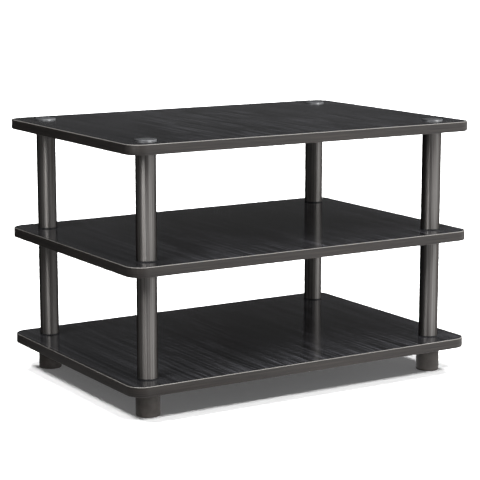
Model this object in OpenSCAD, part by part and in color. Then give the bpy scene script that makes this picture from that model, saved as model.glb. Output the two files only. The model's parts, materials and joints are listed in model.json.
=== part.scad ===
// Three tier television stand: rounded laminated shelves on four columns of screwed tubes.
// The origin is on the floor under the middle of the stand, with the front towards -Y.

/* [Shelves] */
// Width of every shelf, left to right
shelf_w = 600; // [450:1:900]
// Depth of every shelf, front to back
shelf_d = 420; // [300:1:600]
// Thickness of a shelf, measured over both laminates
shelf_t = 15; // [12:0.5:25]
// Radius of a shelf's corners, seen from above
corner_r = 25; // [12:1:45]
// Thickness of the woodgrain laminate on each broad face
laminate_t = 0.6; // [0.3:0.1:1.2]
// Thickness of the plastic edge band
band_t = 1.5; // [0.8:0.1:3]
// Radius trimmed along the band's two outer edges
band_round = 1.2; // [0.3:0.1:2]
// Thickness of the glue line between a board's edge and its band
glue_t = 0.1; // [0.05:0.05:0.3]

/* [Columns] */
// Distance from a shelf's edges to the middle of a column
column_inset = 46; // [32:1:90]
// Outer diameter of the tubes
tube_d = 30; // [28:0.5:42]
// Wall thickness of the tubes
tube_wall = 1.5; // [1:0.1:2]
// Length of every tube
tube_l = 155.5; // [90:0.5:400]

/* [Studs and sockets] */
// Diameter of the studs on the stud inserts and the caps
stud_d = 17; // [14:0.5:18]
// How far a stud reaches into the socket or the foot below its shelf
stud_grip = 12; // [8:0.5:20]
// Bevel on the tip of a stud
stud_bevel = 1.5; // [0.5:0.1:2]
// Diameter of the core left open inside a stud
stud_core_d = 10; // [6:0.5:11]
// Wall round the threaded hole of a socket and of a foot
boss_wall = 2.2; // [1.5:0.1:2.6]
// Empty depth left below the tip of a seated stud
tip_room = 2; // [1:0.5:5]
// Radial gap between a stud and its socket, where the threads mesh
thread_gap = 0.15; // [0.05:0.05:0.3]
// Radial gap between a stud and the hole in a shelf
hole_gap = 1; // [0.3:0.1:2]

/* [Plugs in the tubes] */
// Thickness of the stud insert's flange, between tube and shelf
flange_t = 1.5; // [0.8:0.1:3]
// How far that flange stands out past the tube
flange_lip = 0.4; // [0:0.1:1.5]
// How far the stud insert's plug reaches up into its tube
plug_l = 16; // [10:0.5:40]
// Thickness of the end plate that carries a plug's fins
plate_t = 2.5; // [1.5:0.1:4]
// Number of fins round a plug
plug_fins = 8; // [4:1:12]
// Thickness of a fin
fin_t = 1.6; // [1:0.1:2.5]
// Radial gap between a plug and its tube
plug_gap = 0.05; // [0.02:0.01:0.15]

/* [Caps] */
// Diameter of a cap
cap_d = 32; // [26:0.5:44]
// Height of a cap's rim above the shelf
cap_rim_h = 2.6; // [2:0.1:5]
// Rise of the shallow dome inside the rim
cap_dome_h = 0.5; // [0.2:0.1:2]
// Radius round the rim's upper edge
cap_round = 1.3; // [0.5:0.1:1.8]

/* [Feet] */
// Diameter of a foot
foot_d = 36; // [32:0.5:50]
// Height of a foot
foot_h = 40; // [25:1:80]
// Thickness of a foot's outer wall
foot_wall = 3; // [2.5:0.1:4]
// Thickness of a foot's top plate
foot_top_t = 4; // [2.5:0.1:8]
// Radius round a foot's lower edge
foot_round = 1.2; // [0.3:0.1:2]
// Bevel round a foot's upper edge
foot_bevel = 0.6; // [0.2:0.1:2]
// Number of ribs between a foot's boss and its wall
foot_ribs = 6; // [3:1:8]
// Thickness of a foot's ribs
foot_rib_t = 1.8; // [1:0.1:3]

/* [Hidden] */
$fn = 96;
DOME_SIDES = 360; // sides of the large circle that a cap's dome is cut from
LEVELS = ["bottom", "middle", "top"];
TIERS = ["lower", "upper"];
CORNERS = ["front_left", "front_right", "rear_left", "rear_right"];
SHELF_PIECES = ["core", "edge_band", "upper_laminate", "lower_laminate"];
TUBE_PIECES = ["tube", "socket", "stud"];
TOP = len(LEVELS) - 1;

laminate_color = "#2d2d2f";
band_color = "#4a4543";
board_color = "#b58f63";
tube_color = "#76777a";
insert_color = "#1b1b1d";
cap_color = "#66676a";
foot_color = "#222224";

// Free height between two shelves, and the rise from one shelf to the next
bay_h = flange_t + tube_l;
shelf_rise = shelf_t + bay_h;
// Columns stand at (x, y), in the order of CORNERS
column_x = shelf_w / 2 - column_inset;
column_y = shelf_d / 2 - column_inset;
COLUMN_AT = [for (y = [-column_y, column_y]) for (x = [-column_x, column_x]) [x, y]];
// The band's edge radius keeps under these shares of its thickness and of the shelf's
ROUND_PER_BAND = 0.9;
ROUND_PER_SHELF = 0.4;
band_edge_r = min(band_round, ROUND_PER_BAND * band_t, ROUND_PER_SHELF * shelf_t);
tube_bore_d = tube_d - 2 * tube_wall;
plug_d = tube_bore_d - 2 * plug_gap;
flange_d = tube_d + 2 * flange_lip;
thread_d = stud_d + 2 * thread_gap;
boss_d = thread_d + 2 * boss_wall;
shelf_hole_d = stud_d + 2 * hole_gap;
stud_l = shelf_t + stud_grip;
thread_depth = stud_grip + tip_room;
socket_l = thread_depth + plate_t;
cut = 1; // how far a cutting shape runs past the face that it cuts

function shelf_z(level) = foot_h + level * shelf_rise;
function tube_z(tier) = shelf_z(tier) + shelf_t + flange_t;

module shelf_outline(inset) {
    w = shelf_w / 2 - corner_r;
    d = shelf_d / 2 - corner_r;
    r = corner_r - inset;
    square([2 * (w + r), 2 * d], center = true);
    square([2 * w, 2 * (d + r)], center = true);
    for (x = [-w, w], y = [-d, d]) translate([x, y]) circle(r);
}

module panel(t) {
    linear_extrude(t) difference() {
        shelf_outline(band_t + glue_t);
        for (p = COLUMN_AT) translate(p) circle(d = shelf_hole_d);
    }
}

module shelf_core(level) {
    color(board_color)
        translate([0, 0, shelf_z(level) + laminate_t]) panel(shelf_t - 2 * laminate_t);
}

module upper_laminate(level) {
    color(laminate_color)
        translate([0, 0, shelf_z(level) + shelf_t - laminate_t]) panel(laminate_t);
}

module lower_laminate(level) {
    color(laminate_color) translate([0, 0, shelf_z(level)]) panel(laminate_t);
}

// Cross section of the edge band, from its inner face at x = 0, with its outer edges rounded
module band_profile() {
    square([band_t - band_edge_r, shelf_t]);
    translate([0, band_edge_r]) square([band_t, shelf_t - 2 * band_edge_r]);
    for (z = [band_edge_r, shelf_t - band_edge_r])
        translate([band_t - band_edge_r, z]) circle(band_edge_r);
}

module band_bar(length) {
    rotate([90, 0, 0]) linear_extrude(length, center = true) band_profile();
}

module edge_band(level) {
    w = shelf_w / 2 - corner_r;
    d = shelf_d / 2 - corner_r;
    inner_r = corner_r - band_t;
    color(band_color) translate([0, 0, shelf_z(level)]) {
        for (side = [0, 180]) rotate(side) {
            translate([w + inner_r, 0, 0]) band_bar(2 * d);
            rotate(90) translate([d + inner_r, 0, 0]) band_bar(2 * w);
            translate([w, d, 0]) rotate_extrude(angle = 90) translate([inner_r, 0]) band_profile();
            translate([-w, d, 0]) rotate(90)
                rotate_extrude(angle = 90) translate([inner_r, 0]) band_profile();
        }
    }
}

module tube(tier, corner) {
    color(tube_color) translate(COLUMN_AT[corner]) translate([0, 0, tube_z(tier)])
        linear_extrude(tube_l) difference() {
            circle(d = tube_d);
            circle(d = tube_bore_d);
        }
}

// Fins that hold a plug in its tube, from z = 0 up
module plug_body(length, core_d) {
    linear_extrude(length) {
        circle(d = core_d);
        intersection() {
            circle(d = plug_d);
            for (i = [0:plug_fins - 1]) rotate(i * 360 / plug_fins)
                translate([0, -fin_t / 2]) square([plug_d, fin_t]);
        }
    }
}

// Stud hanging down from z = 0, with a bevelled tip
module stud_shank() {
    translate([0, 0, -stud_l]) rotate_extrude() {
        translate([0, stud_bevel]) square([stud_d / 2, stud_l - stud_bevel]);
        polygon([[0, 0], [stud_d / 2 - stud_bevel, 0], [stud_d / 2, stud_bevel], [0, stud_bevel]]);
    }
}

module socket(tier, corner) {
    color(insert_color) translate(COLUMN_AT[corner])
        translate([0, 0, tube_z(tier) + tube_l - socket_l]) difference() {
            union() {
                plug_body(socket_l, boss_d);
                translate([0, 0, socket_l - plate_t]) cylinder(h = plate_t, d = plug_d);
            }
            translate([0, 0, plate_t]) cylinder(h = thread_depth + cut, d = thread_d);
        }
}

module stud_insert(tier, corner) {
    color(insert_color) translate(COLUMN_AT[corner])
        translate([0, 0, tube_z(tier)]) difference() {
            union() {
                plug_body(plug_l, stud_core_d + 2 * boss_wall);
                cylinder(h = plate_t, d = plug_d);
                translate([0, 0, -flange_t]) cylinder(h = flange_t, d = flange_d);
                translate([0, 0, -flange_t]) stud_shank();
            }
            translate([0, 0, -flange_t - stud_l + plate_t])
                cylinder(h = stud_l + flange_t + plug_l, d = stud_core_d);
        }
}

// Half section of a cap's head: a rounded rim with a shallow dome inside it
module cap_profile() {
    r = cap_d / 2;
    land_r = r - cap_round;
    dome_r = (land_r * land_r + cap_dome_h * cap_dome_h) / (2 * cap_dome_h);
    square([land_r, cap_rim_h]);
    square([r, cap_rim_h - cap_round]);
    translate([land_r, cap_rim_h - cap_round]) circle(cap_round);
    intersection() {
        translate([0, cap_rim_h + cap_dome_h - dome_r]) circle(dome_r, $fn = DOME_SIDES);
        translate([0, cap_rim_h - cap_round]) square([land_r, cap_round + cap_dome_h]);
    }
}

module cap(corner) {
    color(cap_color) translate(COLUMN_AT[corner])
        translate([0, 0, shelf_z(TOP) + shelf_t]) difference() {
            union() {
                rotate_extrude() cap_profile();
                stud_shank();
            }
            translate([0, 0, -stud_l - cut]) cylinder(h = stud_l + cut, d = stud_core_d);
        }
}

// Half section of a foot's shell: outer wall, top plate and threaded boss, open below
module foot_profile() {
    r = foot_d / 2;
    boss_h = thread_depth + plate_t;
    difference() {
        union() {
            translate([0, foot_round]) square([r, foot_h - foot_round - foot_bevel]);
            square([r - foot_round, foot_h]);
            translate([r - foot_round, foot_round]) circle(foot_round);
            translate([0, foot_h - foot_bevel])
                polygon([[0, 0], [r, 0], [r - foot_bevel, foot_bevel], [0, foot_bevel]]);
        }
        translate([-cut, -cut]) square([r - foot_wall + cut, foot_h - boss_h + cut]);
        translate([boss_d / 2, -cut]) square([r - foot_wall - boss_d / 2, foot_h - foot_top_t + cut]);
        translate([-cut, foot_h - thread_depth]) square([thread_d / 2 + cut, thread_depth + cut]);
    }
}

module foot(corner) {
    rib_r = foot_d / 2 - foot_wall / 2;
    color(foot_color) translate(COLUMN_AT[corner]) {
        rotate_extrude() foot_profile();
        difference() {
            for (i = [0:foot_ribs - 1]) rotate(i * 360 / foot_ribs)
                translate([0, -foot_rib_t / 2, 0]) cube([rib_r, foot_rib_t, foot_h - foot_top_t]);
            translate([0, 0, foot_h - thread_depth]) cylinder(h = thread_depth, d = thread_d);
        }
    }
}

for (level = [0:TOP]) {
    shelf = str(LEVELS[level], "_shelf_");
    shelf_core(level);
    edge_band(level);
    upper_laminate(level);
    lower_laminate(level);
}
for (tier = [0:len(TIERS) - 1], corner = [0:len(CORNERS) - 1]) {
    column = str(TIERS[tier], "_", CORNERS[corner]);
    tube(tier, corner);
    socket(tier, corner);
    stud_insert(tier, corner);
}
for (corner = [0:len(CORNERS) - 1]) {
    cap(corner);
    foot(corner);
}
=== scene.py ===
"""Looks of a three tier television stand: woodgrain laminate shelves on screwed metallic tubes."""
import json
import math

import bmesh
import bpy
import numpy as np
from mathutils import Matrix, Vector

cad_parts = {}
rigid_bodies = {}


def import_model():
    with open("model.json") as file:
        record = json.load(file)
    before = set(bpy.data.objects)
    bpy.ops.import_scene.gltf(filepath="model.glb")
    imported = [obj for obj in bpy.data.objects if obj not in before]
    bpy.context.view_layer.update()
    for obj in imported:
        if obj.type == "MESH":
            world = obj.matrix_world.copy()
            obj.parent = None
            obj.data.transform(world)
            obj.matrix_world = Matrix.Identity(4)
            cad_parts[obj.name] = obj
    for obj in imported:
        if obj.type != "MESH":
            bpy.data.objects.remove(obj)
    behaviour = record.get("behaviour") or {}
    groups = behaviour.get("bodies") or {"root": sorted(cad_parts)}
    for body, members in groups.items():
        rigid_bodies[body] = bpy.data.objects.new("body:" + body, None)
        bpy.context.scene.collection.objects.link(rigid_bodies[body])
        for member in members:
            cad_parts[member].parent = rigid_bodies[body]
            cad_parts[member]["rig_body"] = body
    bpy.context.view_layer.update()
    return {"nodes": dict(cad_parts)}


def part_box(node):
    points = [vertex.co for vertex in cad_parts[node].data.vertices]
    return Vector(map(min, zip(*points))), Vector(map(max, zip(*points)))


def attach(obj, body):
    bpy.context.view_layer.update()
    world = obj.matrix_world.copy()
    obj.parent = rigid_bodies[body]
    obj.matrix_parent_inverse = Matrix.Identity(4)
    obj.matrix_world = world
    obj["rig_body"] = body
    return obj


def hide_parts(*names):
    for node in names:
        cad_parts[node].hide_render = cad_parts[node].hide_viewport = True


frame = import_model()

MM = 0.001
LEVELS = ("bottom", "middle", "top")
TIERS = ("lower", "upper")
CORNERS = ("front_left", "front_right", "rear_left", "rear_right")

# The construction's sizes, in metres, and counts that no box of a node tells
CORNER_R = 25 * MM
BAND_T = 1.5 * MM
BAND_ROUND = 1.2 * MM
GLUE_T = 0.1 * MM
TUBE_WALL = 1.5 * MM
STUD_R = 8.5 * MM
STUD_BEVEL = 1.5 * MM
STUD_CORE_R = 5 * MM
HOLE_R = 8.65 * MM
HOLE_DEPTH = 14 * MM
BOSS_WALL = 2.2 * MM
PLATE_T = 2.5 * MM
FLANGE_T = 1.5 * MM
PLUG_FINS = 8
FIN_T = 1.6 * MM
FOOT_ROUND = 1.2 * MM
FOOT_BEVEL = 0.6 * MM
FOOT_WALL = 3 * MM
FOOT_TOP_T = 4 * MM
FOOT_RIBS = 6
FOOT_RIB_T = 1.8 * MM

# Finer forms that only this script gives: threads, rounded fins and flanges, bevelled tube ends,
# and a lower, crisper rim on the cap, whose dome rises more and ends at the same height
THREAD_PITCH = 3 * MM
THREAD_DEPTH = 0.7 * MM
FIN_ROUND = 0.4 * MM
FLANGE_ROUND = 0.4 * MM
TUBE_END_BEVEL = 0.25 * MM
CAP_RIM_H = 1.8 * MM
CAP_ROUND = 0.5 * MM

# The strip that a cutter bares on the band's rounded edges, its pale colour partly the bared PVC's own and
# partly a painted highlight: it grows over the first width from the shelf's face, fades over the second and
# ends at the third. The lower edge shows only a share of it, which is painted shade
TRIM_FADE_IN = 0.2 * MM
TRIM_FADE_OUT = 0.6 * MM
TRIM_END = 0.87 * MM
LOWER_STRIP_PAINTED_SHADE_SHARE = 0.25

# Steps in a full turn, in an arc, round a shelf's corner, on a flange, on a fin, and per thread pitch
ROUND_STEPS = 96
ARC_STEPS = 8
CORNER_STEPS = 24
FLANGE_STEPS = 3
FIN_STEPS = 2
THREAD_STEPS = 8
# Points closer than this are merged, and edges that bend by more degrees than this stay sharp
MERGE_GAP = 0.001 * MM
SHARP_ANGLE = 35


# Mesh making

def arc(centre_a, centre_b, radius, start, end, steps=ARC_STEPS):
    """Points on a circle: (a + r cos t, b + r sin t), with t in degrees from start to end."""
    t = np.radians(np.linspace(start, end, steps + 1))
    return np.stack([centre_a + radius * np.cos(t), centre_b + radius * np.sin(t)], axis=1)


def lengths_along(points):
    """Distance walked along a line of points, from zero at its first."""
    return np.concatenate([[0], np.cumsum(np.linalg.norm(np.diff(points, axis=0), axis=1))])


def grid(points, uv, closed_rows, closed_columns):
    """Quads over points[row, column], as (points, faces, uv in metres at each face corner).

    Where the grid is closed, uv has one row or column more than points, and the last quads
    join back to the first ones.
    """
    rows, columns = points.shape[:2]
    row = np.arange(rows if closed_rows else rows - 1)[:, None]
    column = np.arange(columns if closed_columns else columns - 1)[None, :]
    steps = ((0, 0), (1, 0), (1, 1), (0, 1))
    faces = np.stack([(row + a) % rows * columns + (column + b) % columns for a, b in steps], axis=-1)
    corner_uv = np.stack([uv[row + a, column + b] for a, b in steps], axis=-2)
    return points.reshape(-1, 3), faces.reshape(-1, 4), corner_uv.reshape(-1, 2)


def piece(name, grids, material, slot, *replaced):
    """A smooth, closed, outward facing object made of grids, that stands for the named nodes.

    Points that coincide, as at a pole, are merged, which turns a quad there into a triangle.
    """
    starts = np.cumsum([0] + [len(points) for points, _, _ in grids])
    mesh = bpy.data.meshes.new(name)
    mesh.from_pydata(
        np.concatenate([points for points, _, _ in grids]).tolist(), [],
        np.concatenate([faces + start for (_, faces, _), start in zip(grids, starts)]).tolist())
    mesh.uv_layers.new(name="surface_metres").data.foreach_set(
        "uv", np.concatenate([uv for _, _, uv in grids]).ravel())
    work = bmesh.new()
    work.from_mesh(mesh)
    bmesh.ops.remove_doubles(work, verts=work.verts, dist=MERGE_GAP)
    bmesh.ops.recalc_face_normals(work, faces=work.faces)
    work.to_mesh(mesh)
    work.free()
    mesh.shade_smooth()
    mesh.set_sharp_from_angle(angle=math.radians(SHARP_ANGLE))
    mesh.materials.append(material)
    made = bpy.data.objects.new(name, mesh)
    bpy.context.scene.collection.objects.link(made)
    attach(made, "root")
    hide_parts(*replaced)
    return made


def revolve(profile, centre, closed=False, thread=None):
    """A profile of (radius, height) points turned round a vertical axis at centre, as a grid.

    The point at angle t and profile place p is (x + r(p) cos t, y + r(p) sin t, z(p)). Between
    the two heights in thread, the threaded wall loses a helical wave from its radius: the depth
    times a triangle wave of z over the pitch less t over a turn. A stud and its hole have the
    same wave, so they mesh.
    """
    t = np.linspace(0, 2 * np.pi, ROUND_STEPS, endpoint=False)[:, None]
    radius, height = profile[None, :, 0], profile[None, :, 1]
    if thread:
        between = (height > min(thread)) & (height < max(thread))
        # Studs and holes are both this close to a hole's radius, and no other wall is
        threaded = between & (abs(radius - HOLE_R) < THREAD_DEPTH)
        turn = (height / THREAD_PITCH - t / (2 * np.pi)) % 1
        radius = radius - THREAD_DEPTH * np.abs(2 * turn - 1) * threaded
    radius, height = np.broadcast_arrays(radius + 0 * t, height)
    points = np.stack([centre[0] + radius * np.cos(t), centre[1] + radius * np.sin(t), height], axis=-1)
    line = np.vstack([profile, profile[:1]]) if closed else profile
    u = np.linspace(0, 2 * np.pi * profile[:, 0].max(), ROUND_STEPS + 1)
    uv = np.stack(np.meshgrid(u, lengths_along(line), indexing="ij"), axis=-1)
    return grid(points, uv, closed_rows=True, closed_columns=closed)


def thread_rows(radius, start, end):
    """Points down a threaded wall, close enough together to carry its helical wave."""
    rows = int(THREAD_STEPS * abs(end - start) / THREAD_PITCH)
    return np.stack([np.full(rows, radius), np.linspace(start, end, rows)], axis=1)


def ribs(count, thickness, centre, steps):
    """Radial ribs round an axis, each a rounded bar carried outwards along a spoke.

    steps lists (radius, lowest, highest) along a spoke. The bar's section at each radius is
    a rectangle of that height with rounded edges, and its ends close to points. On the spoke
    at angle t, the point is (x + out cos t - side sin t, y + out sin t + side cos t, z).
    """
    half_t = thickness / 2 - FIN_ROUND
    # The section's rounded corners: side, up or down, and the angle at which the arc starts
    corners = ((1, 1, 0), (-1, 1, 90), (-1, -1, 180), (1, -1, 270))
    arcs = [arc(side * half_t, 0, FIN_ROUND, start, start + 90, FIN_STEPS) for side, _, start in corners]
    sections = []
    for radius, low, high in steps:
        middle, half_h = (low + high) / 2, (high - low) / 2 - FIN_ROUND
        loop = np.concatenate([line + (0, middle + up * half_h) for line, (_, up, _) in zip(arcs, corners)])
        sections.append(np.column_stack([np.full(len(loop), radius), loop]))
    first, last = sections[0], sections[-1]
    inner_end, outer_end = [np.broadcast_to(section.mean(0), section.shape) for section in (first, last)]
    spoke = np.stack([inner_end, *sections, outer_end])
    out, side, height = spoke[..., 0], spoke[..., 1], spoke[..., 2]
    along = [0, *[radius for radius, _, _ in steps], steps[-1][0]]
    around = lengths_along(np.vstack([first, first[:1]])[:, 1:])
    uv = np.stack(np.meshgrid(along, around, indexing="ij"), axis=-1)
    made = []
    for turn in np.arange(count) * 2 * np.pi / count:
        points = np.stack([
            centre[0] + out * math.cos(turn) - side * math.sin(turn),
            centre[1] + out * math.sin(turn) + side * math.cos(turn),
            height], axis=-1)
        made.append(grid(points, uv, closed_rows=False, closed_columns=True))
    return made


# Materials

def linear(hex_colour):
    """An sRGB hex colour as Blender's linear red, green, blue and alpha."""
    levels = [int(hex_colour[i:i + 2], 16) / 255 for i in (1, 3, 5)]
    return [v / 12.92 if v <= 0.04045 else ((v + 0.055) / 1.055) ** 2.4 for v in levels] + [1]


def add(tree, kind, inputs=None, stops=None, **settings):
    """Add a node. inputs gives a socket, by name or number, a value or another node's output.

    stops are the (position, hex colour) pairs of a colour ramp.
    """
    node = tree.nodes.new(kind)
    for key, value in settings.items():
        setattr(node, key, value)
    for key, value in (inputs or {}).items():
        if isinstance(value, bpy.types.NodeSocket):
            tree.links.new(value, node.inputs[key])
        else:
            node.inputs[key].default_value = value
    for place, (position, colour) in enumerate(stops or ()):
        ramp = node.color_ramp.elements
        stop = ramp[place] if place < len(ramp) else ramp.new(position)
        stop.position = position
        stop.color = linear(colour)
    return node


def new_material(name):
    """An empty node material and its tree."""
    material = bpy.data.materials.new(name)
    material.use_nodes = True
    material.node_tree.nodes.clear()
    return material, material.node_tree


def finish_material(tree, shader):
    """Lead a shader to the material's surface."""
    add(tree, "ShaderNodeOutputMaterial", {"Surface": shader.outputs[0]})


def streaks(tree, place, across, along, detail=2.0, rough=0.5, seed=(0, 0, 0)):
    """Noise drawn out along Y: a cell measures along in Y, and across in X and Z, in metres.

    place is a position in metres, and seed moves the pattern, so that two patterns differ.
    """
    scaled = add(tree, "ShaderNodeMapping", {
        "Vector": place, "Location": seed, "Scale": (1 / across, 1 / along, 1 / across)})
    noise = add(tree, "ShaderNodeTexNoise", {
        "Vector": scaled.outputs[0], "Scale": 1.0, "Detail": detail, "Roughness": rough})
    return noise.outputs["Fac"]


# A shelf's print is a slice through solid noise, and the share of its height that counts gives
# every shelf a slice of its own
HEIGHT_SHARE = 0.35
# The grain sways sideways by this much, this many times per metre
GRAIN_SWAY = 3 * MM
SWAYS_PER_METRE = 9.0
# The print's figure grows from none to full between these two places along X
FIGURE_START_X = -260 * MM
FIGURE_FULL_X = -100 * MM
# It is full in front of this place along Y and keeps this share behind the shelf's middle: the fainter,
# darker figure towards the rear is painted shade
PAINTED_SHADE_FRONT_Y = -180 * MM
PAINTED_SHADE_REAR_SHARE = 0.7


def woodgrain_laminate():
    """Melamine woodgrain laminate, printed charcoal oak, hot pressed under a clear overlay.

    It looks nearly black and satin, with straight grain from front to rear: broad soft bands,
    pale fibres in patches, and short pores that are darker and sunk. The overlay is a clear
    coat that mirrors softly. Real fibres are a few tenths of a millimetre wide, and these are
    drawn coarser, so that they show.
    """
    material, tree = new_material("woodgrain_laminate")
    place = add(tree, "ShaderNodeTexCoord").outputs["Object"]
    sliced = add(tree, "ShaderNodeVectorMath", {0: place, 1: (1, 1, HEIGHT_SHARE)}, operation="MULTIPLY")
    wander = add(tree, "ShaderNodeTexNoise", {
        "Vector": sliced.outputs[0], "Scale": SWAYS_PER_METRE, "Detail": 1.0})
    swayed = add(tree, "ShaderNodeVectorMath", {
        0: wander.outputs["Color"], 1: (GRAIN_SWAY, 0, 0), 2: sliced.outputs[0]},
        operation="MULTIPLY_ADD").outputs[0]
    bands = streaks(tree, swayed, across=6 * MM, along=420 * MM, detail=3.0)
    fibres = streaks(tree, swayed, across=2.5 * MM, along=130 * MM, seed=(7, 3, 1))
    pores = streaks(tree, swayed, across=0.9 * MM, along=14 * MM, detail=1.0, seed=(2, 9, 5))
    patches = streaks(tree, swayed, across=90 * MM, along=240 * MM, detail=1.0, seed=(5, 5, 8))
    print_colour = add(tree, "ShaderNodeValToRGB", {"Fac": bands}, stops=[
        (0.34, "#1c1c1e"), (0.46, "#252527"), (0.56, "#2e2e30"), (0.68, "#3b3b3e")])
    thin = add(tree, "ShaderNodeMapRange", {
        "Value": fibres, "From Min": 0.54, "From Max": 0.62}, interpolation_type="SMOOTHSTEP")
    figured = add(tree, "ShaderNodeMapRange", {
        "Value": patches, "From Min": 0.2, "From Max": 0.5}, interpolation_type="SMOOTHSTEP")
    # The figure of this print fades towards the left end, and more gently towards the rear, which is painted
    # shade
    where = add(tree, "ShaderNodeSeparateXYZ", {0: place})
    from_left = add(tree, "ShaderNodeMapRange", {
        "Value": where.outputs["X"], "From Min": FIGURE_START_X, "From Max": FIGURE_FULL_X},
        interpolation_type="SMOOTHSTEP")
    painted_rear_shade = add(tree, "ShaderNodeMapRange", {
        "Value": where.outputs["Y"], "From Min": 0, "From Max": PAINTED_SHADE_FRONT_Y,
        "To Min": PAINTED_SHADE_REAR_SHARE})
    left_fade_and_painted_rear_shade = add(tree, "ShaderNodeMath", {
        0: from_left.outputs[0], 1: painted_rear_shade.outputs[0]}, operation="MULTIPLY")
    figure_with_painted_shade = add(tree, "ShaderNodeMath", {0: figured.outputs[0], 1: left_fade_and_painted_rear_shade.outputs[0]}, operation="MULTIPLY")
    pale = add(tree, "ShaderNodeMath", {0: thin.outputs[0], 1: figure_with_painted_shade.outputs[0]}, operation="MULTIPLY")
    fibred = add(tree, "ShaderNodeMix", {
        "Factor": pale.outputs[0], "A": print_colour.outputs[0], "B": linear("#5d5d62")},
        data_type="RGBA")
    open_pore = add(tree, "ShaderNodeMapRange", {
        "Value": pores, "From Min": 0.64, "From Max": 0.72}, interpolation_type="SMOOTHSTEP")
    colour = add(tree, "ShaderNodeMix", {
        "Factor": open_pore.outputs[0], "A": fibred.outputs["Result"], "B": linear("#151517")},
        data_type="RGBA")
    roughness = add(tree, "ShaderNodeMapRange", {
        "Value": bands, "From Min": 0.35, "From Max": 0.65, "To Min": 0.17, "To Max": 0.15})
    relief = add(tree, "ShaderNodeMath", {0: fibres, 1: open_pore.outputs[0]}, operation="SUBTRACT")
    bump = add(tree, "ShaderNodeBump", {
        "Height": relief.outputs[0], "Strength": 0.3, "Distance": 0.02 * MM})
    shader = add(tree, "ShaderNodeBsdfPrincipled", {
        "Base Color": colour.outputs["Result"], "Roughness": roughness.outputs[0],
        "Specular IOR Level": 0.35, "Coat Weight": 0.5, "Coat Roughness": 0.1,
        "Normal": bump.outputs[0]})
    finish_material(tree, shader)
    return material


def edge_banding():
    """Extruded PVC edge banding, printed dark walnut, its two edges cut round by a cutter.

    It is a warm dark brown grey with fine grain along its length. The cutter bares a paler,
    shinier strip, drawn paler still as a painted highlight, so a thin bright line runs round the
    shelf's upper edge. A fainter one below is painted shade.
    """
    material, tree = new_material("pvc_edge_banding")
    place = add(tree, "ShaderNodeUVMap", uv_map="surface_metres").outputs[0]
    # The map's X runs along the band, and streaks run along Y
    walk = add(tree, "ShaderNodeSeparateXYZ", {0: place})
    turned = add(tree, "ShaderNodeCombineXYZ", {"X": walk.outputs["Y"], "Y": walk.outputs["X"]}).outputs[0]
    grain = streaks(tree, turned, across=1.5 * MM, along=55 * MM, detail=3.0, rough=0.6)
    veins = streaks(tree, turned, across=4 * MM, along=160 * MM, seed=(4, 6, 2))
    # The tone is the mean of the two
    both = add(tree, "ShaderNodeMath", {0: grain, 1: veins}, operation="ADD")
    tone = add(tree, "ShaderNodeMath", {0: both.outputs[0], 1: 0.5}, operation="MULTIPLY")
    print_colour = add(tree, "ShaderNodeValToRGB", {"Fac": tone.outputs[0]}, stops=[
        (0.38, "#292523"), (0.50, "#36312e"), (0.62, "#423c38")])
    # The pale strip is partly the bared PVC's own colour and partly a painted highlight; the lower strip
    # gets a smaller share of it as painted shade
    trimmed = add(tree, "ShaderNodeAttribute", attribute_name="trimmed")
    colour = add(tree, "ShaderNodeMix", {
        "Factor": trimmed.outputs["Fac"], "A": print_colour.outputs[0], "B": linear("#e4e0da")},
        data_type="RGBA")
    roughness = add(tree, "ShaderNodeMapRange", {
        "Value": trimmed.outputs["Fac"], "To Min": 0.46, "To Max": 0.3})
    bump = add(tree, "ShaderNodeBump", {
        "Height": tone.outputs[0], "Strength": 0.25, "Distance": 0.06 * MM})
    shader = add(tree, "ShaderNodeBsdfPrincipled", {
        "Base Color": colour.outputs["Result"], "Roughness": roughness.outputs[0],
        "Normal": bump.outputs[0]})
    finish_material(tree, shader)
    return material


def gunmetal_foil():
    """Metallised gunmetal foil shrunk on a plastic tube, drawn through rollers lengthwise.

    It shows soft vertical highlights, broken into upright lines by the drawing marks, and it
    darkens where it is seen at a slant, because the lacquer over the metal is smoky. The marks
    are finer on the real foil, and these are drawn coarser, so that they show.
    """
    material, tree = new_material("gunmetal_foil")
    place = add(tree, "ShaderNodeTexCoord").outputs["Object"]
    mark_w, mark_l = 1.6 * MM, 300 * MM
    scaled = add(tree, "ShaderNodeMapping", {
        "Vector": place, "Scale": (1 / mark_w, 1 / mark_w, 1 / mark_l)})
    lines = add(tree, "ShaderNodeTexNoise", {
        "Vector": scaled.outputs[0], "Scale": 1.0, "Detail": 3.0, "Roughness": 0.6})
    colour = add(tree, "ShaderNodeValToRGB", {"Fac": lines.outputs["Fac"]}, stops=[
        (0.35, "#686461"), (0.50, "#7b7876"), (0.65, "#8f8d8b")])
    roughness = add(tree, "ShaderNodeMapRange", {
        "Value": lines.outputs["Fac"], "From Min": 0.35, "From Max": 0.65,
        "To Min": 0.56, "To Max": 0.50})
    bump = add(tree, "ShaderNodeBump", {
        "Height": lines.outputs["Fac"], "Strength": 0.25, "Distance": 0.05 * MM})
    around = add(tree, "ShaderNodeTangent", direction_type="RADIAL", axis="Z")
    shader = add(tree, "ShaderNodeBsdfPrincipled", {
        "Base Color": colour.outputs[0], "Metallic": 1.0, "Roughness": roughness.outputs[0],
        "Specular Tint": linear("#8a8683"), "Anisotropic": 0.87, "Anisotropic Rotation": 0.25,
        "Tangent": around.outputs[0], "Normal": bump.outputs[0]})
    finish_material(tree, shader)
    return material


# Size of the clouds that the melt leaves in a moulded plastic's colour
MELT_CLOUDS = 14 * MM


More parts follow.
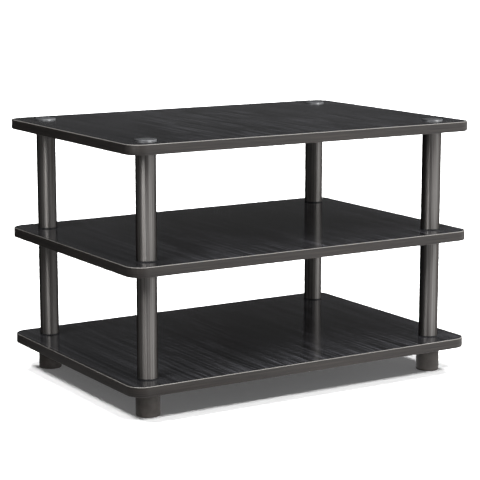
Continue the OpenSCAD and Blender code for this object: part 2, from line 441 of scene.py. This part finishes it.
def moulded_plastic(name, dark, light, rough_low, rough_high, grit, gloss=0.5):
    """Injection moulded plastic with a spark eroded skin, which gives it a soft, even sheen.

    Its colour drifts between dark and light, grit is the size of its fine pits, and gloss is
    the level of its mirroring. Real pits are finer, and these are drawn coarser.
    """
    material, tree = new_material(name)
    place = add(tree, "ShaderNodeTexCoord").outputs["Object"]
    pits = add(tree, "ShaderNodeTexNoise", {
        "Vector": place, "Scale": 1 / grit, "Detail": 3.0, "Roughness": 0.6})
    flow = add(tree, "ShaderNodeTexNoise", {"Vector": place, "Scale": 1 / MELT_CLOUDS, "Detail": 2.0})
    colour = add(tree, "ShaderNodeValToRGB", {"Fac": flow.outputs["Fac"]}, stops=[
        (0.35, dark), (0.65, light)])
    roughness = add(tree, "ShaderNodeMapRange", {
        "Value": pits.outputs["Fac"], "From Min": 0.3, "From Max": 0.7,
        "To Min": rough_low, "To Max": rough_high})
    bump = add(tree, "ShaderNodeBump", {
        "Height": pits.outputs["Fac"], "Strength": 0.3, "Distance": 0.04 * MM})
    shader = add(tree, "ShaderNodeBsdfPrincipled", {
        "Base Color": colour.outputs[0], "Roughness": roughness.outputs[0],
        "Specular IOR Level": gloss, "Normal": bump.outputs[0]})
    finish_material(tree, shader)
    return material


def particle_board():
    """Raw particle board: pressed wood chips of a few millimetres in tan and brown, dull."""
    material, tree = new_material("particle_board")
    place = add(tree, "ShaderNodeTexCoord").outputs["Object"]
    chip = 3 * MM
    chips = add(tree, "ShaderNodeTexVoronoi", {"Vector": place, "Scale": 1 / chip})
    shade = add(tree, "ShaderNodeSeparateColor", {"Color": chips.outputs["Color"]})
    colour = add(tree, "ShaderNodeValToRGB", {"Fac": shade.outputs[0]}, stops=[
        (0.0, "#8a6844"), (0.5, "#b58f63"), (1.0, "#d0b184")])
    bump = add(tree, "ShaderNodeBump", {
        "Height": chips.outputs["Distance"], "Strength": 0.4, "Distance": 0.3 * MM})
    shader = add(tree, "ShaderNodeBsdfPrincipled", {
        "Base Color": colour.outputs[0], "Roughness": 0.85, "Normal": bump.outputs[0]})
    finish_material(tree, shader)
    return material


LAMINATE = woodgrain_laminate()
BANDING = edge_banding()
FOIL = gunmetal_foil()
BOARD = particle_board()
# Semi gloss ABS, dyed dark grey: the domed head picks up a soft rim of light
CAP_PLASTIC = moulded_plastic(
    "grey_abs_cap", dark="#555658", light="#5b5c5e", rough_low=0.26, rough_high=0.32, grit=0.6 * MM)
# Satin polypropylene, dyed near black: it only lifts where it turns to the light
FOOT_PLASTIC = moulded_plastic(
    "black_polypropylene_foot", dark="#3b3734", light="#46423f", rough_low=0.5, rough_high=0.6,
    grit=0.8 * MM, gloss=0.3)
# Nylon inserts in the tubes, dyed black: little shows but a thin dull ring
INSERT_PLASTIC = moulded_plastic(
    "black_nylon_insert", dark="#111112", light="#18181a", rough_low=0.45, rough_high=0.6, grit=0.8 * MM)


# Pieces

def dress_nodes():
    """Give the nodes that stay their materials: the cores particle board, the skins laminate."""
    finishes = {"_core": BOARD, "_laminate": LAMINATE}
    for name, node in frame["nodes"].items():
        for ending, material in finishes.items():
            if name.endswith(ending):
                node.data.materials.clear()
                node.data.materials.append(material)


def centre_of(node):
    """Where a column's axis stands, from the box of a round node on it."""
    low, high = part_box(node)
    return (low.x + high.x) / 2, (low.y + high.y) / 2


def rounded_path(half_x, half_y, radius):
    """A rounded rectangle as points and outward normals, from the middle of its rear side.

    It runs anticlockwise from above: each corner is a quarter circle about its own centre.
    """
    corners = ((-1, 1, 90), (-1, -1, 180), (1, -1, 270), (1, 1, 360))
    angles = np.concatenate([[90], *[np.linspace(a, a + 90, CORNER_STEPS + 1) for _, _, a in corners], [90]])
    signs = np.concatenate([[[0, 1]], *[[(x, y)] * (CORNER_STEPS + 1) for x, y, _ in corners], [[0, 1]]])
    normals = np.stack([np.cos(np.radians(angles)), np.sin(np.radians(angles))], axis=1)
    centres = signs * [half_x - radius, half_y - radius]
    return centres + radius * normals, normals


def edge_band(level):
    """A band's rounded section carried round the shelf, from a butt joint at the rear.

    Its inner face takes in the glue line, so that it meets the laminates. The point at path
    place s and section place p is path(s) + offset(p) normal(s), at height z(p).
    """
    node = f"{level}_shelf_edge_band"
    low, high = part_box(node)
    path, normals = rounded_path(high.x - BAND_T, high.y - BAND_T, CORNER_R - BAND_T)
    reach = BAND_T - BAND_ROUND
    lower = arc(reach, low.z + BAND_ROUND, BAND_ROUND, -90, 0)
    upper = arc(reach, high.z - BAND_ROUND, BAND_ROUND, 0, 90)
    section = np.vstack([[(-GLUE_T, low.z)], lower, upper, [(-GLUE_T, high.z)]])
    flat = path[:-1, None, :] + section[None, :, :1] * normals[:-1, None, :]
    height = np.broadcast_to(section[None, :, 1:], (*flat.shape[:2], 1))
    closed_section = np.vstack([section, section[:1]])
    uv = np.stack(np.meshgrid(lengths_along(path), lengths_along(closed_section), indexing="ij"), axis=-1)
    body = grid(np.concatenate([flat, height], axis=-1), uv, closed_rows=True, closed_columns=True)
    made = piece(f"{level}_band", [body], BANDING, "edge_band", node)
    # The attribute is 1 on the upper strip that the cutter bared, less on the lower strip, and 0 on the flat
    # faces beside it: it carries a painted highlight, and the lower strip's smaller share is painted shade
    places = np.zeros(len(made.data.vertices) * 3)
    made.data.vertices.foreach_get("co", places)
    z = places[2::3]
    from_face = np.minimum(high.z - z, z - low.z)
    fade_in = np.clip(from_face / TRIM_FADE_IN, 0, 1)
    fade_out = np.clip((TRIM_END - from_face) / TRIM_FADE_OUT, 0, 1)
    # The lower edge keeps only a share of the strip, as painted shade
    share = np.where(z > (low.z + high.z) / 2, 1, LOWER_STRIP_PAINTED_SHADE_SHARE)
    trimmed = made.data.attributes.new("trimmed", "FLOAT", "POINT")
    trimmed.data.foreach_set("value", fade_in * fade_out * share)


def tube(column):
    """A tube: its outer and inner wall with small bevels at the cut ends, turned about its axis."""
    node = f"{column}_tube"
    low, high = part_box(node)
    outer, bevel = (high.x - low.x) / 2, TUBE_END_BEVEL
    inner = outer - TUBE_WALL
    profile = np.array([
        (outer - bevel, low.z), (outer, low.z + bevel), (outer, high.z - bevel), (outer - bevel, high.z),
        (inner + bevel, high.z), (inner, high.z - bevel), (inner, low.z + bevel), (inner + bevel, low.z)])
    body = revolve(profile, centre_of(node), closed=True)
    piece(f"{column}_foil_tube", [body], FOIL, "tube_foil", node)


def stud_profile(seat, tip):
    """Half section of a hollow threaded stud, from the seat that it hangs from to its tip."""
    return np.vstack([
        thread_rows(STUD_R, seat, tip + STUD_BEVEL),
        [(STUD_R - STUD_BEVEL, tip), (STUD_CORE_R, tip)]])


def stud(column):
    """A stud insert: flange, threaded stud below it, and a finned plug that fills the tube's foot."""
    node = f"{column}_stud"
    low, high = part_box(node)
    centre = centre_of(node)
    tube_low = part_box(f"{column}_tube")[0].z
    flange_r = (high.x - low.x) / 2
    seat = tube_low - FLANGE_T
    # The plug fills the same tube as the socket, so it has the socket's radius
    socket_low, socket_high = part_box(f"{column}_socket")
    plug_r = (socket_high.x - socket_low.x) / 2
    boss_r = STUD_CORE_R + BOSS_WALL
    edge = flange_r - FLANGE_ROUND
    profile = np.vstack([
        [(STUD_CORE_R, high.z), (boss_r, high.z), (boss_r, tube_low + PLATE_T)],
        [(plug_r, tube_low + PLATE_T), (plug_r, tube_low)],
        arc(edge, tube_low - FLANGE_ROUND, FLANGE_ROUND, 90, 0, FLANGE_STEPS),
        arc(edge, seat + FLANGE_ROUND, FLANGE_ROUND, 0, -90, FLANGE_STEPS),
        stud_profile(seat, low.z), [(STUD_CORE_R, low.z + PLATE_T)]])
    fins = ribs(PLUG_FINS, FIN_T, centre, (
        (boss_r - FIN_ROUND, tube_low + PLATE_T / 2, high.z), (plug_r, tube_low + PLATE_T / 2, high.z)))
    body = revolve(profile, centre, closed=True, thread=(seat, low.z + STUD_BEVEL))
    piece(f"{column}_stud_insert", [body, *fins], INSERT_PLASTIC, "insert_plastic", node)


def socket(column):
    """A socket insert: a threaded boss on an end plate, with fins that grip the tube's head."""
    node = f"{column}_socket"
    low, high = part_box(node)
    centre = centre_of(node)
    plug_r = (high.x - low.x) / 2
    boss_r = HOLE_R + BOSS_WALL
    hole_z = high.z - HOLE_DEPTH
    profile = np.vstack([
        [(0, low.z), (boss_r, low.z), (boss_r, high.z - PLATE_T)],
        [(plug_r, high.z - PLATE_T), (plug_r, high.z)],
        thread_rows(HOLE_R, high.z, hole_z), [(0, hole_z)]])
    fins = ribs(PLUG_FINS, FIN_T, centre, (
        (boss_r - FIN_ROUND, low.z, high.z - PLATE_T / 2), (plug_r, low.z, high.z - PLATE_T / 2)))
    body = revolve(profile, centre, thread=(high.z, hole_z))
    piece(f"{column}_socket_insert", [body, *fins], INSERT_PLASTIC, "insert_plastic", node)


def cap(corner):
    """A cap: shallow dome, rounded rim and hollow threaded stud, turned about the column's axis."""
    node = f"{corner}_cap"
    low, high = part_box(node)
    radius = (high.x - low.x) / 2
    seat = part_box("top_shelf_upper_laminate")[1].z
    land, rise = radius - CAP_ROUND, high.z - seat - CAP_RIM_H
    dome_r = (land ** 2 + rise ** 2) / (2 * rise)
    half_angle = math.degrees(math.asin(land / dome_r))
    profile = np.vstack([
        arc(0, high.z - dome_r, dome_r, 90, 90 - half_angle),
        arc(land, seat + CAP_RIM_H - CAP_ROUND, CAP_ROUND, 90, 0), [(radius, seat)],
        stud_profile(seat, low.z), [(STUD_CORE_R, seat), (0, seat)]])
    body = revolve(profile, centre_of(node), thread=(seat, low.z + STUD_BEVEL))
    piece(f"{corner}_domed_cap", [body], CAP_PLASTIC, "cap_plastic", node)


def foot(corner):
    """A foot: a moulded cup open below, with a threaded boss hanging in it on radial ribs."""
    node = f"{corner}_foot"
    low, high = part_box(node)
    centre = centre_of(node)
    radius = (high.x - low.x) / 2
    inner_r = radius - FOOT_WALL
    boss_r = HOLE_R + BOSS_WALL
    hole_z = high.z - HOLE_DEPTH
    boss_z = hole_z - PLATE_T
    plate_z = high.z - FOOT_TOP_T
    profile = np.vstack([
        [(0, boss_z), (boss_r, boss_z), (boss_r, plate_z), (inner_r, plate_z), (inner_r, low.z)],
        arc(radius - FOOT_ROUND, low.z + FOOT_ROUND, FOOT_ROUND, -90, 0),
        [(radius, high.z - FOOT_BEVEL), (radius - FOOT_BEVEL, high.z)],
        thread_rows(HOLE_R, high.z, hole_z), [(0, hole_z)]])
    under, beside = boss_z + PLATE_T / 2, plate_z + FOOT_TOP_T / 2
    boss_mid, wall_mid = boss_r - BOSS_WALL / 2, radius - FOOT_WALL / 2
    webs = ribs(FOOT_RIBS, FOOT_RIB_T, centre, (
        (0, low.z, under), (boss_mid, low.z, under), (boss_mid, low.z, beside), (wall_mid, low.z, beside)))
    body = revolve(profile, centre, thread=(high.z, hole_z))
    piece(f"{corner}_ribbed_foot", [body, *webs], FOOT_PLASTIC, "foot_plastic", node)


def build_stand():
    """Dress the shelves' nodes and make every finer piece."""
    dress_nodes()
    for level in LEVELS:
        edge_band(level)
    for tier in TIERS:
        for corner in CORNERS:
            tube(f"{tier}_{corner}")
            stud(f"{tier}_{corner}")
            socket(f"{tier}_{corner}")
    for corner in CORNERS:
        cap(corner)
        foot(corner)


build_stand()


# Camera: where it stood, from a fit to the photograph's edges, in metres and degrees

IMAGE_PX = 480
SENSOR_MM = 36
FOCAL_PX = 1687.27
CAMERA_AT = (-1.3766, -2.2409, 0.6796)
CAMERA_YAW = 31.62
CAMERA_PITCH = 10.17
CAMERA_REACH = 200


def camera():
    """A camera without roll: yaw turns it to the right of +Y, and pitch tips it down."""
    lens = bpy.data.cameras.new("photo_camera")
    lens.sensor_width = SENSOR_MM
    lens.lens = FOCAL_PX * SENSOR_MM / IMAGE_PX
    lens.clip_end = CAMERA_REACH
    made = bpy.data.objects.new("photo_camera", lens)
    made.location = CAMERA_AT
    made.rotation_euler = (math.radians(90 - CAMERA_PITCH), 0, -math.radians(CAMERA_YAW))
    bpy.context.scene.collection.objects.link(made)
    bpy.context.scene.camera = made


camera()
bpy.context.scene.view_settings.view_transform = "Standard"


# Studio: pale floor, soft lamps, and a tent of cards that only reflections see

# Half the floor's side, in metres, and the white that is added where it is seen
FLOOR_R = 60
FLOOR_TOP_UP = 0.08
# Level of the world where it lights the object
WORLD_DIFFUSE = 0.16
# A card's skirt starts this far from the middle, bends up with this radius, and clears the
# floor by at least this gap
CARD_FOOT_R = 0.2
CARD_BEND = 0.25
CARD_GAP = 0.002


def seen_directly(tree):
    """1 for camera, glossy and transmission rays, 0 for the rays that light other things."""
    path = add(tree, "ShaderNodeLightPath")
    first = add(tree, "ShaderNodeMath", {
        0: path.outputs["Is Camera Ray"], 1: path.outputs["Is Glossy Ray"]}, operation="MAXIMUM")
    return add(tree, "ShaderNodeMath", {
        0: first.outputs[0], 1: path.outputs["Is Transmission Ray"]}, operation="MAXIMUM").outputs[0]


def world():
    """White where it is seen or mirrored, and a dim even grey where it lights the object."""
    made = bpy.data.worlds.new("studio_world")
    bpy.context.scene.world = made
    made.use_nodes = True
    tree = made.node_tree
    tree.nodes.clear()
    level = add(tree, "ShaderNodeMapRange", {
        "Value": seen_directly(tree), "To Min": WORLD_DIFFUSE, "To Max": 1.0})
    light = add(tree, "ShaderNodeBackground", {"Color": (1, 1, 1, 1), "Strength": level.outputs[0]})
    add(tree, "ShaderNodeOutputWorld", {"Surface": light.outputs[0]})


def floor():
    """Matt white vinyl, laid flat: plain diffuse white, topped up a little where it is seen."""
    material, tree = new_material("white_vinyl_floor")
    white = add(tree, "ShaderNodeBsdfDiffuse", {"Color": linear("#f6f6f6")})
    glow = add(tree, "ShaderNodeMath", {0: seen_directly(tree), 1: FLOOR_TOP_UP}, operation="MULTIPLY")
    top_up = add(tree, "ShaderNodeEmission", {"Color": (1, 1, 1, 1), "Strength": glow.outputs[0]})
    both = add(tree, "ShaderNodeAddShader", {0: white.outputs[0], 1: top_up.outputs[0]})
    finish_material(tree, both)
    mesh = bpy.data.meshes.new("studio_floor")
    r = FLOOR_R
    mesh.from_pydata([(-r, -r, 0), (r, -r, 0), (r, r, 0), (-r, r, 0)], [], [(0, 1, 2, 3)])
    mesh.materials.append(material)
    made = bpy.data.objects.new("studio_floor", mesh)
    made.visible_diffuse = False
    bpy.context.scene.collection.objects.link(made)


def card(name, strength, radius, high, low=None, start=-180, end=180):
    """An evenly glowing card curved round the stand, seen by glossy rays alone.

    start and end are directions in degrees, from the front towards the right. A card with a low
    height is a wall from low to high. One without it also has a flat skirt on the floor and a
    quarter bend between the two. They stand for the black cards and the lit panels that are
    set up round satin metal in a studio.
    """
    material, tree = new_material(name)
    glow = add(tree, "ShaderNodeEmission", {"Color": (1, 1, 1, 1), "Strength": strength})
    finish_material(tree, glow)
    if low is None:
        # The smaller the radius the higher the skirt, so that a nearer card covers a farther one
        lift = CARD_GAP * (1 + 1 / radius)
        bend = arc(radius - CARD_BEND, CARD_BEND + lift, CARD_BEND, -90, 0)
        profile = np.vstack([[(CARD_FOOT_R, lift)], bend, [(radius, high)]])
    else:
        profile = np.array([(radius, low), (radius, high)])
    t = np.radians(np.linspace(start, end, ROUND_STEPS + 1))[:, None]
    out, up = profile[:, 0], profile[:, 1]
    points = np.stack([out * np.sin(t), -out * np.cos(t), up + 0 * t], axis=-1)
    no_uv = np.zeros((*points.shape[:2], 2))
    points, faces, _ = grid(points, no_uv, closed_rows=False, closed_columns=False)
    mesh = bpy.data.meshes.new(name)
    mesh.from_pydata(points.tolist(), [], faces.tolist())
    mesh.materials.append(material)
    made = bpy.data.objects.new(name, mesh)
    bpy.context.scene.collection.objects.link(made)
    for ray in ("camera", "diffuse", "transmission", "volume_scatter", "shadow"):
        setattr(made, f"visible_{ray}", False)


def cards():
    """Black cards all round, and inside them dim panels, a bright strip and a lit wall."""
    card("black_cards", strength=0.02, radius=3.2, high=3.2)
    card("left_dim_panel", strength=0.2, radius=3.0, high=0.9, start=-130, end=-74)
    card("left_strip_panel", strength=9.0, radius=0.85, high=1.8, low=0.5, start=-68, end=-46)
    card("front_dim_panel", strength=0.45, radius=3.0, high=0.9, start=-74, end=-9)
    card("front_wide_panel", strength=0.95, radius=2.8, high=1.0, start=-9, end=100)
    card("front_wall_panel", strength=1.5, radius=2.7, high=1.0, low=0.2, start=-9, end=70)
    card("rear_panel", strength=0.057, radius=2.9, high=0.75, start=115, end=200)


def group(name, members):
    """A collection for light linking: it says which pieces a lamp lights or which cast its shadow."""
    made = bpy.data.collections.new(name)
    for member in members:
        made.objects.link(member)
    return made


def softbox(name, strength, spread, azimuth, elevation, lit, casting):
    """A far soft lamp: strength is the share of white that a surface facing it would reach.

    azimuth is where it stands, in degrees from the front towards the right.
    """
    light = bpy.data.lights.new(name, "SUN")
    light.energy = strength * math.pi
    light.angle = math.radians(spread)
    made = bpy.data.objects.new(name, light)
    made.rotation_euler = (math.radians(90 - elevation), 0, math.radians(azimuth))
    bpy.context.scene.collection.objects.link(made)
    made.light_linking.receiver_collection = lit
    made.light_linking.blocker_collection = casting


def lamps():
    """Softboxes for the whole stand, others for some of its pieces, and a ring for the floor.

    The left one lights the laminates alone, the cap softbox the caps and the foot softbox the
    feet. The ring is shaded by the bottom shelf and the feet alone, so that the floor stays
    white round the stand and its shadow lies close under it.
    """
    pieces = [shown for shown in bpy.context.scene.objects if "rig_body" in shown]
    stand = group("stand", pieces)
    low = group("bottom_shelf_and_feet", [p for p in pieces if "bottom" in p.name or "foot" in p.name])
    flats = group("laminates", [p for p in pieces if "laminate" in p.name])
    caps = group("caps", [p for p in pieces if "cap" in p.name])
    feet = group("feet", [p for p in pieces if "foot" in p.name])
    ground = group("ground", [bpy.data.objects["studio_floor"]])
    softbox("top_softbox", strength=0.12, spread=60, azimuth=0, elevation=90, lit=stand, casting=stand)
    softbox("front_softbox", strength=0.5, spread=40, azimuth=12, elevation=50, lit=stand, casting=stand)
    softbox("left_softbox", strength=1.05, spread=40, azimuth=-75, elevation=42, lit=flats, casting=stand)
    softbox("right_softbox", strength=0.2, spread=50, azimuth=95, elevation=45, lit=stand, casting=stand)
    softbox("low_softbox", strength=0.22, spread=30, azimuth=40, elevation=12, lit=stand, casting=stand)
    softbox("cap_softbox", strength=2.3, spread=30, azimuth=20, elevation=5, lit=caps, casting=stand)
    softbox("foot_softbox", strength=0.7, spread=50, azimuth=0, elevation=14, lit=feet, casting=stand)
    for azimuth, elevation in ((0, 56), (90, 56), (180, 56), (270, 62)):
        softbox(f"floor_softbox_{azimuth}", strength=0.9, spread=13, azimuth=azimuth,
                elevation=elevation, lit=ground, casting=low)


world()
floor()
cards()
lamps()
